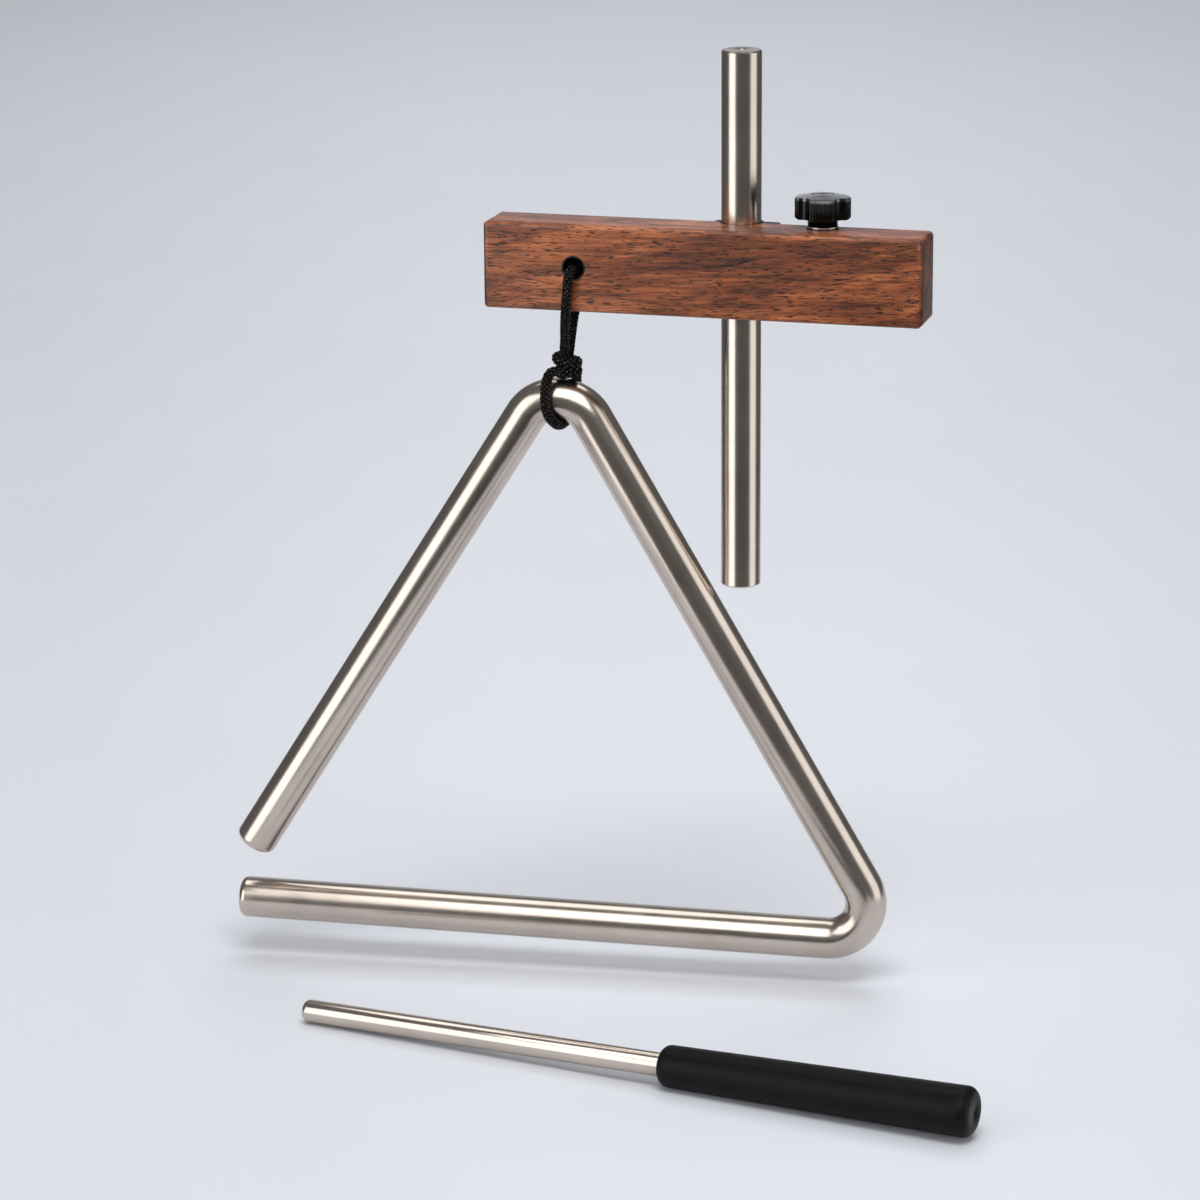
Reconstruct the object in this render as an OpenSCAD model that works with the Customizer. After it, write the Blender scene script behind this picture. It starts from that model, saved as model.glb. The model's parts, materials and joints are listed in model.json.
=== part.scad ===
// Triangle hung by a cord from a wooden block that clamps on an upright post.
// Millimetres, +Z up. The origin is the centre of the post's lower end face.

/* [Post] */
// Diameter of the post
post_d = 12; // [10:0.5:14]
// Length of the post
post_l = 162.4; // [140:0.1:220]
// Bevel round the post's two ends
post_bevel = 0.45; // [0.2:0.05:1]
// Diameter of the centre mark in the post's top
mark_d = 1.8; // [1:0.1:3]

/* [Block] */
// Length of the wooden block
block_l = 133.7; // [130:0.1:160]
// Height of the wooden block
block_h = 26.4; // [24:0.1:34]
// Thickness of the wooden block, front to rear
block_w = 17.1; // [16:0.1:22]
// From the post's axis to the block's left end
block_left = 75.3; // [70:0.1:85]
// Height of the block's underside above the post's lower end
block_z = 84.8; // [80:0.1:100]
// Rounding along the block's long edges
edge_r = 1.6; // [0.8:0.1:2.5]
// Rounding round the block's two end faces
end_r = 2.2; // [1:0.1:3]

/* [Cord] */
// Diameter of the hole for the cord
hole_d = 7.3; // [6.5:0.1:9]
// From the block's left end to the cord hole's axis
hole_in = 28.2; // [20:0.1:32]
// Height of the cord hole's axis above the block's underside
hole_up = 13.4; // [11:0.1:16]
// Wall of the black bush in the cord hole
bush_wall = 0.5; // [0.3:0.05:1]
// Diameter of the braided cord
cord_d = 3; // [2:0.1:3.2]
// Overall width of the knot
knot_w = 8.4; // [7:0.1:9]

/* [Triangle] */
// Diameter of the triangle's rod
rod_d = 12.7; // [9:0.1:13]
// Width of the triangle between its lower corners, on the rod's centreline
base_l = 213.2; // [190:0.1:216]
// Height of the triangle between base and top corner, on the rod's centreline
tri_h = 177.1; // [160:0.1:180]
// Radius of the rod's centreline in the bends
bend_r = 11.9; // [10:0.1:14]
// Length missing from the left leg at the open corner
leg_cut = 20.9; // [19:0.1:30]
// Length missing from the base bar at the open corner
base_cut = 6.8; // [2:0.1:15]
// Rounding of the edges of the rod's ends
rod_end_r = 2.2; // [1:0.1:3]

/* [Clamp] */
// Wall of the black sleeve round the post
sleeve_wall = 0.5; // [0.4:0.05:1]
// Width of the saddle's hump behind the post
hump_w = 20.2; // [18:0.1:26]
// Wall of the saddle behind the sleeve
hump_wall = 3; // [2:0.1:5]
// How far the saddle's hump stays below the block's top and above its underside
saddle_inset = 1.6; // [0.5:0.1:2.5]
// Thickness of the saddle's flanges
flange_t = 3; // [2:0.1:4]
// From the post's axis to the knob's axis
knob_x = 25.8; // [24:0.1:30]
// From the block's rear face to the knob's axis
knob_in = 4.8; // [4.6:0.1:7]
// Diameter of the threaded stud
stud_d = 5; // [4:0.1:5.4]
// Pitch of the stud's thread
thread_pitch = 0.8; // [0.5:0.1:1]
// Turns of the knob from clamped to loose
loose_turns = 2; // [1:1:3]
// Slope of the wedge faces from upright, in degrees
wedge_a = 15; // [10:1:20]
// Height of the wedge nut
nut_h = 10; // [8:0.1:11]

/* [Knob] */
// Diameter of the knob over its lobes
knob_d = 16.6; // [14:0.1:20]
// Number of lobes
lobes = 4; // [4:1:6]
// Height of the lobed head
head_h = 6.9; // [6:0.1:9]
// Diameter of the knob's neck
neck_d = 8.9; // [8:0.1:10]
// Height of the knob's neck
neck_h = 2.2; // [1.5:0.1:4]
// Grip ribs on each lobe
lobe_ribs = 9; // [5:2:11]
// Diameter of one grip rib
rib_d = 0.55; // [0.4:0.05:0.8]
// Diameter of the round cap in the knob's top
cap_d = 6.4; // [5:0.1:7]
// Diameter of the washer under the knob
washer_d = 9.4; // [9:0.1:9.4]
// Thickness of the washer
washer_t = 0.8; // [0.5:0.1:1.5]

/* [Beater] */
// Diameter of the beater's rod
beater_d = 7; // [5:0.1:8]
// Length of the beater, tip to end
beater_l = 217.2; // [190:0.1:240]
// Length of the rubber grip
grip_l = 97.4; // [80:0.1:110]
// Diameter of the grip at its front
grip_front_d = 12.4; // [11:0.1:14]
// Diameter of the grip at its end
grip_end_d = 14.8; // [12:0.1:17]
// Rounding of the grip's edges
grip_r = 2.8; // [1.5:0.1:3.5]
// Rubber behind the rod's hidden end
grip_wall = 8; // [4:0.1:12]

/* [Places] */
// Height of the post's lower end above the floor
floor_z = 125; // [120:0.1:140]
// From the post's axis to the triangle's hanging point, to the left
hang_x = 54.6; // [53:0.1:60]
// Height of the top bend's centre above the post's lower end
hang_z = 44.4; // [44:0.1:46]
// Turn of the triangle about the upright, in degrees
tri_turn = 5.5; // [-10:0.1:10]
// Beater tip, from the post's axis to the left
tip_x = 116.6; // [100:0.1:130]
// Beater tip, from the post's axis to the front
tip_y = 75; // [65:0.1:95]
// Turn of the beater on the floor, in degrees
beater_turn = -11; // [-20:0.5:0]

/* [Hidden] */
$fn = 64;
// Running clearance of turning and sliding rounds, radial
run_gap = 0.05;
// Clearance of pieces that are pressed or glued together, radial
seat_gap = 0.01;
// Clearance of flat sliding faces
slide_gap = 0.15;
// Length by which joined solids of one piece run into each other
lap = 0.02;
// Overcut that carries a hole past a face
over = 1;

post_r = post_d / 2;
sleeve_in = post_r + run_gap;
sleeve_out = sleeve_in + sleeve_wall;
groove_r = sleeve_out + run_gap;
block_top = block_z + block_h;
hole_x = -block_left + hole_in;
hole_z = block_z + hole_up;
bush_r = hole_d / 2;
cord_r = cord_d / 2;

// Clamp, counted from the middle of the wedge nut
knob_y = -knob_in;
stud_r = stud_d / 2;
nut_rise = 1;
nut_wall = 2.5;
nut_z = block_z + block_h / 2 + nut_rise;
nut_half = stud_r + nut_wall;
nut_y0 = -2 * knob_in + slide_gap;
nut_drop = thread_pitch * loose_turns;
shoe_inset = 1;
shoe_h = nut_h - 2 * shoe_inset;
shoe_edge = 0.6;
shoe_y0 = -groove_r + shoe_edge;
wedge_x = knob_x - nut_half;
clip_t = 0.8;
clip_gap = 0.1;
clip_top = nut_z - nut_h / 2 - nut_drop - clip_gap;
clip_wide = 1.6;
clip_r = stud_r + clip_wide;
neck_groove = 0.4;
clip_snap = 0.3;
stud_bevel = 0.5;
stud_past_clip = 1.8;
stud_low = clip_top - clip_t - stud_past_clip;
pocket_room = 0.3;
pocket_low = stud_low - pocket_room;
pocket_top = nut_z + nut_h / 2 + slide_gap;
pocket_left = wedge_x - nut_h / 2 * tan(wedge_a) - pocket_room;
pocket_right = knob_x + nut_half + slide_gap;

// Saddle behind the block
hump_y = sleeve_out + run_gap + hump_wall;
hump_r = 2;
flange_r = 2;
flange_w = 7;
flange_inset = 3;
flange_left = -hump_w / 2 - flange_w;
flange_right = pocket_right + flange_w;
flange_low = block_z + flange_inset;
flange_high = block_top - flange_inset;
screw_r = 1.3;
screw_head_r = 2.6;
screw_l = 11;
screw_in = 3.6;
screw_up = 4.2;
slot_w = 0.6;
slot_deep = 0.8;
screw_xs = [flange_left + screw_in, flange_right - screw_in];
screw_zs = [flange_low + screw_up, flange_high - screw_up];

// Knob, counted up from the washer
washer_top = block_top + washer_t;
knob_z = washer_top + run_gap;
head_z = knob_z + neck_h;
knob_top = head_z + head_h;
knob_r = knob_d / 2;
knob_turn = 10.4;
lobe_share = 0.589;
lobe_half_a = 180 / lobes * lobe_share;
valley_a = 180 / lobes - lobe_half_a;
valley_out = 0.9;
valley_x = knob_r + valley_out;
valley_r = sqrt(pow(valley_x - knob_r * cos(valley_a), 2)
                + pow(knob_r * sin(valley_a), 2));
rib_margin_a = 2;
head_round = 0.8;
dome_h = 0.5;
insert_wall = 0.7;
insert_r = stud_r + insert_wall;
cap_r = cap_d / 2;
cap_t = 1.2;
cap_rim = 0.1;
cap_rim_w = 0.8;
cap_dish = 0.35;
under_cap = 1.4;
insert_h = neck_h + head_h - cap_t - under_cap;

// Triangle in its own plane: u to the right, w up, from the top vertex
rod_r = rod_d / 2;
// Bending draws the rod this much thinner, radial
bend_thin = 0.02;
bend_lap = 1;
half_a = atan(base_l / 2 / tri_h);
corner_a = 90 - half_a;
leg_l = sqrt(pow(base_l / 2, 2) + pow(tri_h, 2));
top_tangent = bend_r / tan(half_a);
corner_tangent = bend_r / tan(corner_a / 2);
top_centre = [0, -bend_r / sin(half_a)];
left_dir = [-sin(half_a), -cos(half_a)];
right_dir = [sin(half_a), -cos(half_a)];
base_dir = [-1, 0];
corner = leg_l * right_dir;
corner_mid_dir = [-cos(corner_a / 2), sin(corner_a / 2)];
corner_centre = corner + bend_r / sin(corner_a / 2) * corner_mid_dir;

// Centre of mass of the bent rod's centreline
function arc_len(half) = bend_r * 2 * half * PI / 180;
function arc_off(half) = bend_r * sin(half) / (half * PI / 180);
top_half = 90 - half_a;
corner_half = 90 - corner_a / 2;
runs = [
    [leg_l - leg_cut - top_tangent, left_dir * (leg_l - leg_cut + top_tangent) / 2],
    [leg_l - corner_tangent - top_tangent,
     right_dir * (leg_l - corner_tangent + top_tangent) / 2],
    [base_l - base_cut - corner_tangent,
     corner + base_dir * (base_l - base_cut + corner_tangent) / 2],
    [arc_len(top_half), top_centre + [0, arc_off(top_half)]],
    [arc_len(corner_half), corner_centre - arc_off(corner_half) * corner_mid_dir]
];
rod_len = runs[0][0] + runs[1][0] + runs[2][0] + runs[3][0] + runs[4][0];
rod_mass = (runs[0][0] * runs[0][1] + runs[1][0] * runs[1][1] + runs[2][0] * runs[2][1]
            + runs[3][0] * runs[3][1] + runs[4][0] * runs[4][1]) / rod_len;
// The tilt that brings the centre of mass under the centre of the top bend
hang_tilt = atan(rod_mass[0] / (top_centre[1] - rod_mass[1]));
hang_y = -block_w / 2;

// Beater on the floor: it rests on its tip and on the front edge of its grip
beater_r = beater_d / 2;
grip_start = beater_l - grip_l;
beater_lift = asin((grip_front_d / 2 - beater_r) / (grip_start + grip_r));
grip_taper = (grip_end_d - grip_front_d) / 2 / grip_l;
tip_round = beater_r * 0.6;
end_hole_r = 0.5;
end_hole_deep = 2;

// The cord's route from the knot up the front, through the block and down the rear
strand_points = [
    [-52, -10.2, 71.8], [-51.1, -12.7, 75.2], [-50.2, -15.7, 79.9], [-49.4, -18, 83.4],
    [-49, -19, 86.8], [-48.6, -19, 90.5], [-48.3, -19, 94], [-48, -18.5, 96.5],
    [-47.8, -16.2, 97.4], [-47.7, -11, 97.4], [-47.8, -6, 97.4], [-48, -0.9, 97.4],
    [-48.4, 1.4, 96.5], [-48.8, 1.9, 94], [-49.8, 1.9, 90.5], [-50.7, 1.9, 86.8],
    [-51.4, 0.9, 83.4], [-51.9, -1.4, 79.9], [-52, -4.4, 75.2], [-52, -6.4, 72.3]
];
// The loop's route from the knot's front, under the top bend and back to its rear
loop_points = [
    [-54, -11.5, 64.5], [-55.6, -14.6, 63.2], [-56.6, -16.9, 60.4], [-56.9, -17.6, 56.6],
    [-56.4, -17.2, 52.8], [-55.2, -15.2, 49.6], [-54.2, -11.8, 48.3], [-53.8, -8.5, 48.1],
    [-53.4, -5.2, 48.3], [-52.6, -1.8, 49.6], [-51.8, 0.3, 52.8], [-51.4, 0.7, 56.6],
    [-51.2, -0.1, 60.4], [-51.1, -2.6, 63.4], [-51.3, -4.4, 64.1]
];
knot_at = [-51.8, -8.5, 68.1];
// Lean about X, lean about Y and height of the knot's two turns
knot_turns = [[24, -16, 0.6], [-16, 30, -1]];
knot_core_h = 4;

// Outline of a rectangle with round corners, centred
module round_rect(w, h, r) {
    square([w - 2 * r, h], center = true);
    square([w, h - 2 * r], center = true);
    for (x = [-1, 1], y = [-1, 1])
        translate([x * (w / 2 - r), y * (h / 2 - r)]) circle(r, $fn = 32);
}

// A straight round rod from z = 0 to its rounded end at z = l
module rod_to_end(r, l, round) {
    rotate_extrude($fn = 40) {
        square([r, l - round]);
        translate([0, l - round]) square([r - round, round]);
        translate([r - round, l - round]) intersection() {
            circle(round, $fn = 48);
            square(round);
        }
    }
}

// Unit vector
function unit(v) = v / norm(v);
// The direction of a route at its point i
function along(p, i) = unit(p[min(i + 1, len(p) - 1)] - p[max(i - 1, 0)]);
// One ring of a swept tube, square to the route, with its sides counted from side_ref
function ring(c, d, r, n, side_ref) =
    let (a = unit(cross(d, side_ref)), b = cross(d, a))
    [for (k = [0 : n - 1]) c + r * (cos(360 * k / n) * a + sin(360 * k / n) * b)];

// A round cord swept along a route as one closed solid of n sides
module cord_tube(p, r, n, side_ref) {
    points = [for (i = [0 : len(p) - 1]) each ring(p[i], along(p, i), r, n, side_ref)];
    last = (len(p) - 1) * n;
    sides = [for (i = [0 : len(p) - 2], k = [0 : n - 1])
        let (a = i * n + k, b = i * n + (k + 1) % n)
        each [[a, b, b + n], [a, b + n, a + n]]];
    ends = [for (k = [1 : n - 2]) each [[0, k + 1, k], [last, last + k, last + k + 1]]];
    polyhedron(points = points, faces = concat(sides, ends));
}

module post() {
    color("silver") difference() {
        rotate_extrude() polygon([
            [0, 0], [post_r - post_bevel, 0], [post_r, post_bevel],
            [post_r, post_l - post_bevel], [post_r - post_bevel, post_l], [0, post_l]
        ]);
        translate([0, 0, post_l - mark_d / 2])
            cylinder(h = mark_d / 2 + lap, r1 = 0, r2 = mark_d / 2 + lap);
    }
}

module post_sleeve() {
    color("black") translate([0, 0, block_z]) difference() {
        cylinder(h = block_h, r = sleeve_out);
        translate([0, 0, -over]) cylinder(h = block_h + 2 * over, r = sleeve_in);
    }
}

// The block's rounded body, before anything is cut in it
module block_body() {
    mid = [-block_left + block_l / 2, -block_w / 2, block_z + block_h / 2];
    translate(mid) intersection() {
        rotate([90, 0, 90]) linear_extrude(block_l, center = true)
            round_rect(block_w, block_h, edge_r);
        linear_extrude(block_h, center = true) round_rect(block_l, block_w, end_r);
        rotate([90, 0, 0]) linear_extrude(block_w, center = true)
            round_rect(block_l, block_h, end_r);
    }
}

module wood_block() {
    color("saddlebrown") difference() {
        block_body();
        // hole for the cord
        translate([hole_x, over, hole_z]) rotate([90, 0, 0])
            cylinder(h = block_w + 2 * over, r = bush_r);
        // half-round groove for the sleeve
        translate([0, 0, block_z - over]) cylinder(h = block_h + 2 * over, r = groove_r);
        // pocket for the nut and channel for the shoe, open to the rear
        translate([pocket_left, -2 * knob_in, pocket_low])
            cube([pocket_right - pocket_left, 2 * knob_in + over, pocket_top - pocket_low]);
        translate([0, shoe_y0 - slide_gap, nut_z - shoe_h / 2 - slide_gap])
            cube([pocket_left + over, over - shoe_y0, shoe_h + 2 * slide_gap]);
        // bore for the stud
        translate([knob_x, knob_y, pocket_top - over])
            cylinder(h = block_top - pocket_top + 2 * over, r = stud_r + slide_gap);
        // pilot holes for the saddle's screws
        for (x = screw_xs, z = screw_zs) translate([x, over, z]) rotate([90, 0, 0])
            cylinder(h = screw_l - flange_t + over + slide_gap, r = screw_r + seat_gap);
    }
}

module cord_bush() {
    color("black") translate([hole_x, 0, hole_z]) rotate([90, 0, 0]) difference() {
        cylinder(h = block_w, r = bush_r - seat_gap);
        translate([0, 0, -over]) cylinder(h = block_w + 2 * over, r = bush_r - bush_wall);
    }
}

// The saddle's outline seen from above
module saddle_outline() {
    translate([-hump_w / 2, 0]) square([hump_w, hump_y - hump_r]);
    translate([-hump_w / 2 + hump_r, 0]) square([hump_w - 2 * hump_r, hump_y]);
    for (s = [-1, 1])
        translate([s * (hump_w / 2 - hump_r), hump_y - hump_r]) circle(hump_r, $fn = 32);
}

module post_saddle() {
    color("black") difference() {
        union() {
            translate([0, 0, block_z + saddle_inset])
                linear_extrude(block_h - 2 * saddle_inset) saddle_outline();
            translate([(flange_left + flange_right) / 2, flange_t,
                       (flange_low + flange_high) / 2])
                rotate([90, 0, 0]) linear_extrude(flange_t)
                    round_rect(flange_right - flange_left, flange_high - flange_low, flange_r);
        }
        translate([0, 0, block_z - over]) cylinder(h = block_h + 2 * over, r = groove_r);
        for (x = screw_xs, z = screw_zs) translate([x, flange_t, z]) rotate([90, 0, 0]) {
            translate([0, 0, -over])
                cylinder(h = flange_t + 2 * over, r = screw_r + slide_gap);
            translate([0, 0, -lap])
                cylinder(h = screw_head_r - screw_r + lap,
                         r1 = screw_head_r + slide_gap + lap, r2 = screw_r + slide_gap);
        }
    }
}

module saddle_screws() {
    cone_h = screw_head_r - screw_r;
    color("dimgray") for (x = screw_xs, z = screw_zs)
        translate([x, flange_t - lap, z]) rotate([90, 0, 0]) difference() {
            rotate_extrude() polygon([
                [0, 0], [screw_head_r, 0], [screw_r, cone_h],
                [screw_r, screw_l - 2 * screw_r], [0, screw_l]
            ]);
            for (a = [0, 90]) rotate(a) translate([-screw_r, -slot_w / 2, -over])
                cube([2 * screw_r, slot_w, over + slot_deep]);
        }
}

module knob_washer() {
    color("silver") translate([knob_x, knob_y, block_top]) difference() {
        cylinder(h = washer_t, d = washer_d);
        translate([0, 0, -over]) cylinder(h = washer_t + 2 * over, r = stud_r + slide_gap);
    }
}

// The lobed head's outline: a disc with round valleys, and ribs round each lobe
module head_outline() {
    difference() {
        circle(knob_r - rib_d / 2, $fn = 96);
        for (i = [0 : lobes - 1]) rotate(360 / lobes * (i + 0.5))
            translate([valley_x, 0]) circle(valley_r, $fn = 48);
    }
    rib_a = (lobe_half_a - rib_margin_a) * 2 / lobe_ribs;
    for (i = [0 : lobes - 1], k = [0 : lobe_ribs - 1])
        rotate(360 / lobes * i + (k - (lobe_ribs - 1) / 2) * rib_a)
            translate([knob_r - rib_d / 2, 0]) circle(d = rib_d, $fn = 16);
}

module knob() {
    color([0.08, 0.08, 0.08]) translate([knob_x, knob_y, 0]) rotate(knob_turn - 90)
        difference() {
            union() {
                translate([0, 0, knob_z]) cylinder(h = neck_h + over, d = neck_d);
                intersection() {
                    translate([0, 0, head_z]) linear_extrude(head_h) head_outline();
                    // domed top with a soft rim
                    translate([0, 0, head_z]) rotate_extrude($fn = 96) polygon(concat(
                        [[0, 0], [knob_r - head_round / 2, 0], [knob_r, head_round / 2]],
                        [for (a = [0 : 15 : 75])
                            [knob_r - head_round * (1 - cos(a)),
                             head_h - dome_h - head_round * (1 - sin(a))]],
                        [[cap_r + cap_rim_w, head_h], [0, head_h]]));
                }
            }
            translate([0, 0, knob_z - over])
                cylinder(h = insert_h + over, r = insert_r + seat_gap);
            translate([0, 0, knob_top - cap_t]) cylinder(h = cap_t + over, r = cap_r + seat_gap);
        }
}

module knob_insert() {
    color("gold") translate([knob_x, knob_y, knob_z]) difference() {
        cylinder(h = insert_h, r = insert_r);
        translate([0, 0, -over]) cylinder(h = insert_h + 2 * over, r = stud_r + seat_gap);
    }
}

module knob_cap() {
    color([0.05, 0.05, 0.05]) translate([knob_x, knob_y, knob_top - cap_t])
        rotate_extrude() polygon([
            [0, 0], [cap_r, 0], [cap_r, cap_t - cap_rim], [cap_r - cap_rim_w / 2, cap_t + cap_rim],
            [cap_r - cap_rim_w, cap_t], [0, cap_t - cap_dish]
        ]);
}

module clamp_stud() {
    color("silver") translate([knob_x, knob_y, 0]) rotate_extrude() polygon([
        [0, stud_low], [stud_r - stud_bevel, stud_low], [stud_r, stud_low + stud_bevel],
        [stud_r, clip_top - clip_t], [stud_r - neck_groove, clip_top - clip_t],
        [stud_r - neck_groove, clip_top], [stud_r, clip_top],
        [stud_r, knob_z + insert_h], [0, knob_z + insert_h]
    ]);
}

module stud_clip() {
    neck_r = stud_r - neck_groove;
    mouth = neck_r - clip_snap;
    color("dimgray") translate([knob_x, knob_y, clip_top - clip_t + seat_gap]) difference() {
        cylinder(h = clip_t - 2 * seat_gap, r = clip_r);
        translate([0, 0, -over]) cylinder(h = clip_t + 2 * over, r = neck_r + seat_gap);
        translate([-clip_r - over, -mouth, -over])
            cube([clip_r + over, 2 * mouth, clip_t + 2 * over]);
    }
}

// A bar of the given depth whose end face slopes like the wedge
module sloped_bar(outline, y0, y1) {
    translate([0, y1, nut_z]) rotate([90, 0, 0]) linear_extrude(y1 - y0) polygon(outline);
}

module wedge_nut() {
    lean = nut_h / 2 * tan(wedge_a);
    color("gray") difference() {
        sloped_bar([[wedge_x - lean, -nut_h / 2], [knob_x + nut_half, -nut_h / 2],
                    [knob_x + nut_half, nut_h / 2], [wedge_x + lean, nut_h / 2]],
                   nut_y0, -slide_gap);
        translate([knob_x, knob_y, nut_z - nut_h / 2 - over])
            cylinder(h = nut_h + 2 * over, r = stud_r + run_gap);
    }
}

module clamp_shoe() {
    lean = shoe_h / 2 * tan(wedge_a);
    face = wedge_x - run_gap;
    color("dimgray") difference() {
        sloped_bar([[0, -shoe_h / 2], [face - lean, -shoe_h / 2],
                    [face + lean, shoe_h / 2], [0, shoe_h / 2]], shoe_y0, -slide_gap);
        translate([0, 0, nut_z - shoe_h]) cylinder(h = 2 * shoe_h, r = groove_r);
    }
}

module cord_strands() {
    color("black") cord_tube(strand_points, cord_r, 8, [1, 0.2, 0.1]);
}

// Two turns of the cord that cross over each other round the tied strands
module cord_knot() {
    turn_r = knot_w / 2 - cord_r;
    color("black") translate(knot_at) {
        for (lean = knot_turns)
            translate([0, 0, lean[2]]) rotate([lean[0], lean[1], 0])
                rotate_extrude($fn = 48) translate([turn_r, 0]) circle(cord_r, $fn = 24);
        translate([0, 0, -cord_r]) cylinder(h = knot_core_h, r = turn_r);
    }
}

module cord_loop() {
    color("black") cord_tube(loop_points, cord_r, 8, [1, 0.1, 0.05]);
}

// The rod's straight run from a point in the triangle's plane, l long, to a rounded end
module tri_run(from, dir, l) {
    translate([from[0], 0, from[1]]) rotate([0, atan2(dir[0], dir[1]), 0])
        rod_to_end(rod_r, l, rod_end_r);
}

// A bend, which starts and ends a little way inside the straight runs
module tri_bend(centre, start_a, turn_a) {
    translate([centre[0], 0, centre[1]]) rotate([90, 0, 0]) rotate(start_a - bend_lap)
        rotate_extrude(angle = turn_a + 2 * bend_lap, $fn = 64)
            translate([bend_r, 0]) circle(rod_r - bend_thin, $fn = 40);
}

module triangle() {
    color("silver") translate([-hang_x, hang_y, hang_z]) rotate([0, 0, tri_turn])
        rotate([0, hang_tilt, 0]) translate([-top_centre[0], 0, -top_centre[1]]) {
            tri_run(left_dir * top_tangent, left_dir, leg_l - leg_cut - top_tangent);
            tri_bend(top_centre, half_a, 2 * top_half);
            translate([right_dir[0] * top_tangent, 0, right_dir[1] * top_tangent])
                rotate([0, 180 - half_a, 0])
                    cylinder(h = leg_l - top_tangent - corner_tangent, r = rod_r, $fn = 40);
            tri_bend(corner_centre, -90, 2 * corner_half);
            tri_run(corner + base_dir * corner_tangent, base_dir,
                    base_l - base_cut - corner_tangent);
        }
}

// Carries the beater from its own axis, tip at the origin, to its place on the floor
module on_floor() {
    translate([-tip_x, -tip_y, -floor_z + beater_r]) rotate([0, 0, beater_turn])
        rotate([0, 90 - beater_lift, 0]) children();
}

module beater_rod() {
    l = beater_l - grip_wall;
    color("silver") on_floor() translate([0, 0, l]) mirror([0, 0, 1])
        rod_to_end(beater_r, l, tip_round);
}

module beater_grip() {
    front_r = grip_front_d / 2;
    end_r2 = grip_end_d / 2;
    color([0.1, 0.1, 0.1]) on_floor() translate([0, 0, grip_start]) rotate_extrude()
        polygon(concat(
            [for (a = [0 : 15 : 90])
                [front_r - grip_r * (1 - sin(a)) + grip_taper * grip_r, grip_r * (1 - cos(a))]],
            [for (a = [0 : 15 : 90])
                [end_r2 - grip_r * (1 - cos(a)), grip_l - grip_r * (1 - sin(a))]],
            [[end_hole_r, grip_l], [end_hole_r, grip_l - end_hole_deep],
             [0, grip_l - end_hole_deep], [0, grip_l - grip_wall + seat_gap],
             [beater_r + seat_gap, grip_l - grip_wall + seat_gap], [beater_r + seat_gap, 0]]));
}

post();
post_sleeve();
wood_block();
cord_bush();
post_saddle();
saddle_screws();
knob_washer();
knob();
knob_insert();
knob_cap();
clamp_stud();
stud_clip();
wedge_nut();
clamp_shoe();
cord_strands();
cord_knot();
cord_loop();
triangle();
beater_rod();
beater_grip();
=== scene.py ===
import json
import math
import bpy
import bmesh
from mathutils import Matrix, Vector


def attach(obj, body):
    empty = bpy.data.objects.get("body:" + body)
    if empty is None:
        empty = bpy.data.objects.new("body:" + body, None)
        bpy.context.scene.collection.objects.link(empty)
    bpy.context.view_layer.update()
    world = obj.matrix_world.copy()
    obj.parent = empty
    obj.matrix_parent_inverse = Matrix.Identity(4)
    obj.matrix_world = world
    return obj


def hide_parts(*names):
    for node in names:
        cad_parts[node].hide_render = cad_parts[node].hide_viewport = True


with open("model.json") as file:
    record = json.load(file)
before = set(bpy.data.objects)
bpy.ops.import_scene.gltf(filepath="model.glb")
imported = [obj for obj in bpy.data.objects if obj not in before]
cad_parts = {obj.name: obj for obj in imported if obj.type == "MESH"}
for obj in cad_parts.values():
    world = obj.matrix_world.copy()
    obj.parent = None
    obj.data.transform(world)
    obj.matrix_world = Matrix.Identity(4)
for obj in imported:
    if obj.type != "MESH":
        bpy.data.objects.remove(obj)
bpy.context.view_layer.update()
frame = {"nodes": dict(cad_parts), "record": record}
mm = 0.001
scene = bpy.context.scene
scene.view_settings.view_transform = "Standard"
bodyOf = {node: body for body, nodes in frame["record"]["behaviour"]["bodies"].items() for node in nodes}
slotOf = {part["node"]: part["material_slot"] for part in frame["record"]["subparts"]}


def addObject(name, data):
    thing = bpy.data.objects.new(name, data)
    scene.collection.objects.link(thing)
    return thing


# Camera
cameraSetup = {  # metres; lens and sensor in millimetres
    "place": (0.3141, -1.2712, 0.3568),
    "lookAlong": (-0.26159, 0.92767, -0.26645),
    "roll": 0.0068,
    "lens": 134.23,
    "sensor": 36.0,
    "nearest": 0.05,
    "farthest": 30,
}
# the way that the camera looks, without its tilt
levelAhead = Vector((*cameraSetup["lookAlong"][:2], 0)).normalized()


def makeCamera(setup):
    data = bpy.data.cameras.new("camera")
    data.lens, data.sensor_width, data.sensor_fit = setup["lens"], setup["sensor"], "HORIZONTAL"
    data.clip_start, data.clip_end = setup["nearest"], setup["farthest"]
    thing = addObject("camera", data)
    forward = Vector(setup["lookAlong"]).normalized()
    right = forward.cross(Vector((0, 0, 1))).normalized()
    up = right.cross(forward)
    turnedRight = (right - setup["roll"] * up).normalized()
    turnedUp = turnedRight.cross(forward)
    thing.matrix_world = Matrix.Translation(setup["place"]) @ Matrix(
        (turnedRight, turnedUp, -forward)).transposed().to_4x4()
    scene.camera = thing


makeCamera(cameraSetup)
print("camera in place")


# Node helpers, for the finishes and for the geometry
def feed(tree, socket, value):
    # the value is another node's output, a colour of three numbers or a plain value
    if hasattr(value, "is_output"):
        tree.links.new(value, socket)
    else:
        socket.default_value = (*value, 1) if socket.type == "RGBA" else value


def feedAll(tree, node, values):
    for key, value in values.items():
        feed(tree, node.inputs[key], value)


def addNode(tree, kind, inputs=None, **settings):
    node = tree.nodes.new(kind)
    for key, value in settings.items():
        setattr(node, key, value)
    feedAll(tree, node, inputs or {})
    return node


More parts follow.
